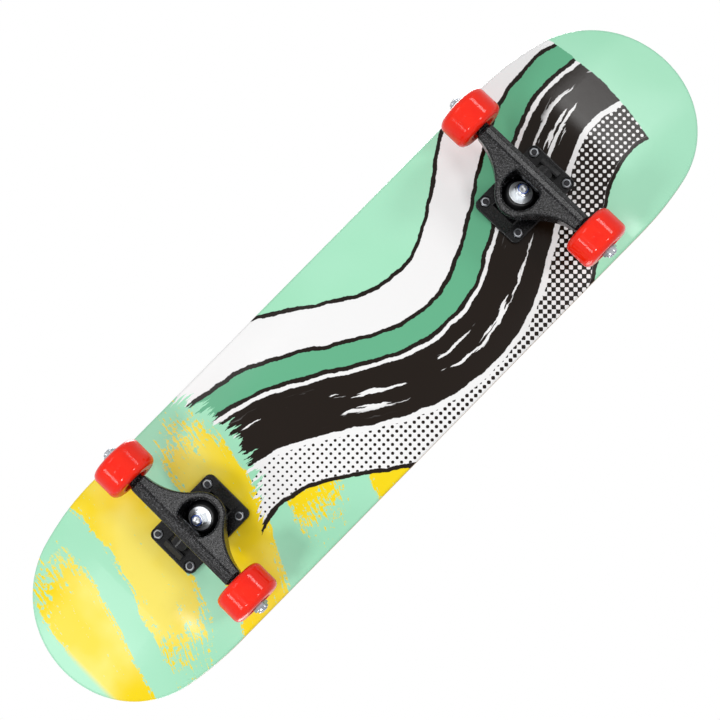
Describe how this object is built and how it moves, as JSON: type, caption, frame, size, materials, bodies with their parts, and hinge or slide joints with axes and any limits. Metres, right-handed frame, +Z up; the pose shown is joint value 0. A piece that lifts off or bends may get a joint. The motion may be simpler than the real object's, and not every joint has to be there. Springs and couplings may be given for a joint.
{
  "type": "skateboard",
  "caption": "Skateboard: concave, double-kicked wooden deck with grip tape on sprung kingpin trucks that steer when it leans, with free-rolling bearing wheels.",
  "frame": {"origin": "on the ground, midway between the four wheels, under the middle of the deck", "axes": "+X along the deck to the nose, +Y to the rider's left when facing the nose, +Z up"},
  "size_m": [0.802, 0.2, 0.1354],
  "materials": {
    "deck": "lacquered maple with a printed underside",
    "grip_tape": "black abrasive grit",
    "baseplate": "satin black moulding",
    "hanger": "textured black moulding",
    "pivot_cup": "black",
    "bushing": "black urethane",
    "kingpin": "bright zinc",
    "washer": "bright zinc",
    "nut": "bright zinc with a blue nylon ring",
    "mounting_bolt": "black oxide",
    "mounting_nut": "zinc",
    "axle": "bright steel",
    "wheel": "glossy red urethane",
    "bearing": "polished",
    "shield": "pressed steel"
  },
  "bodies": {
    "board": {"deck": "deck", "grip_tape": "grip_tape", "nose_baseplate": "baseplate", "nose_pivot_cup": "pivot_cup", "nose_kingpin": "kingpin", "nose_boardside_washer": "washer", "nose_boardside_bushing": "bushing", "nose_roadside_bushing": "bushing", "nose_roadside_washer": "washer", "nose_kingpin_nut": "nut", "nose_mounting_bolts": "mounting_bolt", "nose_mounting_nuts": "mounting_nut", "tail_baseplate": "baseplate", "tail_pivot_cup": "pivot_cup", "tail_kingpin": "kingpin", "tail_boardside_washer": "washer", "tail_boardside_bushing": "bushing", "tail_roadside_bushing": "bushing", "tail_roadside_washer": "washer", "tail_kingpin_nut": "nut", "tail_mounting_bolts": "mounting_bolt", "tail_mounting_nuts": "mounting_nut"},
    "nose_hanger": {"nose_hanger": "hanger", "nose_axle": "axle", "nose_left_bearing_inner_rings": "bearing", "nose_left_bearing_spacer": "bearing", "nose_left_speed_washers": "washer", "nose_left_axle_nut": "nut", "nose_right_bearing_inner_rings": "bearing", "nose_right_bearing_spacer": "bearing", "nose_right_speed_washers": "washer", "nose_right_axle_nut": "nut"},
    "nose_left_wheel": {"nose_left_wheel": "wheel", "nose_left_bearing_outer_rings": "bearing", "nose_left_bearing_shields": "shield"},
    "nose_left_balls": {"nose_left_bearing_ball_sets": "bearing"},
    "nose_right_wheel": {"nose_right_wheel": "wheel", "nose_right_bearing_outer_rings": "bearing", "nose_right_bearing_shields": "shield"},
    "nose_right_balls": {"nose_right_bearing_ball_sets": "bearing"},
    "tail_hanger": {"tail_hanger": "hanger", "tail_axle": "axle", "tail_left_bearing_inner_rings": "bearing", "tail_left_bearing_spacer": "bearing", "tail_left_speed_washers": "washer", "tail_left_axle_nut": "nut", "tail_right_bearing_inner_rings": "bearing", "tail_right_bearing_spacer": "bearing", "tail_right_speed_washers": "washer", "tail_right_axle_nut": "nut"},
    "tail_left_wheel": {"tail_left_wheel": "wheel", "tail_left_bearing_outer_rings": "bearing", "tail_left_bearing_shields": "shield"},
    "tail_left_balls": {"tail_left_bearing_ball_sets": "bearing"},
    "tail_right_wheel": {"tail_right_wheel": "wheel", "tail_right_bearing_outer_rings": "bearing", "tail_right_bearing_shields": "shield"},
    "tail_right_balls": {"tail_right_bearing_ball_sets": "bearing"}
  },
  "joints": [
    {"name": "nose_steer", "type": "hinge", "parent": "board", "child": "nose_hanger", "pos_m": [0.227, 0, 0.0665], "axis": [0.8986, 0, 0.4389], "range_deg": [-12, 12], "stiffness_Nm_per_rad": 50, "deforming": ["nose_boardside_bushing", "nose_roadside_bushing"]},
    {"name": "nose_left_spin", "type": "hinge", "parent": "nose_hanger", "child": "nose_left_wheel", "pos_m": [0.219, 0, 0.0255], "axis": [0, 1, 0], "continuous": true},
    {"name": "nose_left_balls_spin", "type": "hinge", "parent": "nose_hanger", "child": "nose_left_balls", "pos_m": [0.219, 0, 0.0255], "axis": [0, 1, 0], "continuous": true},
    {"name": "nose_right_spin", "type": "hinge", "parent": "nose_hanger", "child": "nose_right_wheel", "pos_m": [0.219, 0, 0.0255], "axis": [0, 1, 0], "continuous": true},
    {"name": "nose_right_balls_spin", "type": "hinge", "parent": "nose_hanger", "child": "nose_right_balls", "pos_m": [0.219, 0, 0.0255], "axis": [0, 1, 0], "continuous": true},
    {"name": "tail_steer", "type": "hinge", "parent": "board", "child": "tail_hanger", "pos_m": [-0.227, 0, 0.0665], "axis": [-0.8986, 0, 0.4389], "range_deg": [-12, 12], "stiffness_Nm_per_rad": 50, "deforming": ["tail_boardside_bushing", "tail_roadside_bushing"]},
    {"name": "tail_left_spin", "type": "hinge", "parent": "tail_hanger", "child": "tail_left_wheel", "pos_m": [-0.219, 0, 0.0255], "axis": [0, 1, 0], "continuous": true},
    {"name": "tail_left_balls_spin", "type": "hinge", "parent": "tail_hanger", "child": "tail_left_balls", "pos_m": [-0.219, 0, 0.0255], "axis": [0, 1, 0], "continuous": true},
    {"name": "tail_right_spin", "type": "hinge", "parent": "tail_hanger", "child": "tail_right_wheel", "pos_m": [-0.219, 0, 0.0255], "axis": [0, 1, 0], "continuous": true},
    {"name": "tail_right_balls_spin", "type": "hinge", "parent": "tail_hanger", "child": "tail_right_balls", "pos_m": [-0.219, 0, 0.0255], "axis": [0, 1, 0], "continuous": true}
  ],
  "couplings": [
    {"joint": "nose_left_balls_spin", "follows": "nose_left_spin", "ratio": 0.632},
    {"joint": "nose_right_balls_spin", "follows": "nose_right_spin", "ratio": 0.632},
    {"joint": "tail_left_balls_spin", "follows": "tail_left_spin", "ratio": 0.632},
    {"joint": "tail_right_balls_spin", "follows": "tail_right_spin", "ratio": 0.632}
  ]
}
